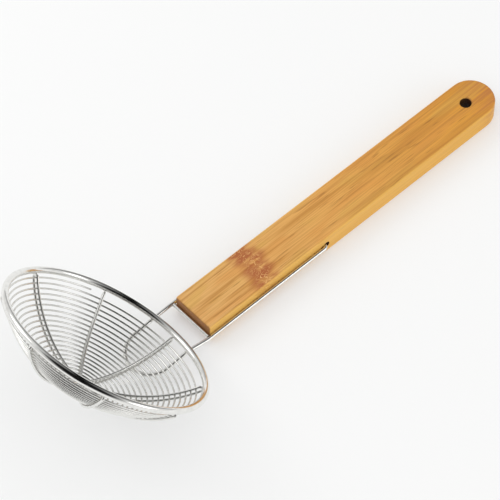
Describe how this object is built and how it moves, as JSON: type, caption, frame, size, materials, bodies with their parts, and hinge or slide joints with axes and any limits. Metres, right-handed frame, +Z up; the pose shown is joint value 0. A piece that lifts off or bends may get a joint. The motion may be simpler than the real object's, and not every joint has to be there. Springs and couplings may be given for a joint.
{
  "type": "long-handled wire strainer",
  "caption": "Shallow round spiral-wire strainer basket, tilted up on a wire frame that is hooked into a flat bamboo handle with a hanging hole.",
  "frame": {"origin": "middle of the bounding box's footprint, on the flat surface that the underside of the handle lies on", "axes": "+X along the handle towards its hanging hole, +Z up out of the surface it lies on, with the basket's mouth facing up and towards the handle"},
  "size_m": [0.348, 0.127, 0.0956],
  "materials": {
    "bamboo": "smooth natural carbonised bamboo with a light oil finish",
    "frame_steel": "bright drawn stainless wire",
    "rim_steel": "polished stainless wire",
    "mesh_steel": "bright drawn stainless wire",
    "rib_steel": "bright drawn stainless wire"
  },
  "bodies": {
    "root": {"bamboo_handle": "bamboo", "frame_wire": "frame_steel", "cross_bar": "frame_steel", "rim_ring": "rim_steel", "spiral_mesh": "mesh_steel", "rib_hairpin_1": "rib_steel", "rib_hairpin_2": "rib_steel", "rib_hairpin_3": "rib_steel", "rib_hairpin_4": "rib_steel", "rib_hairpin_5": "rib_steel", "rib_hairpin_6": "rib_steel", "rib_hairpin_7": "rib_steel", "rib_hairpin_8": "rib_steel"}
  },
  "joints": []
}
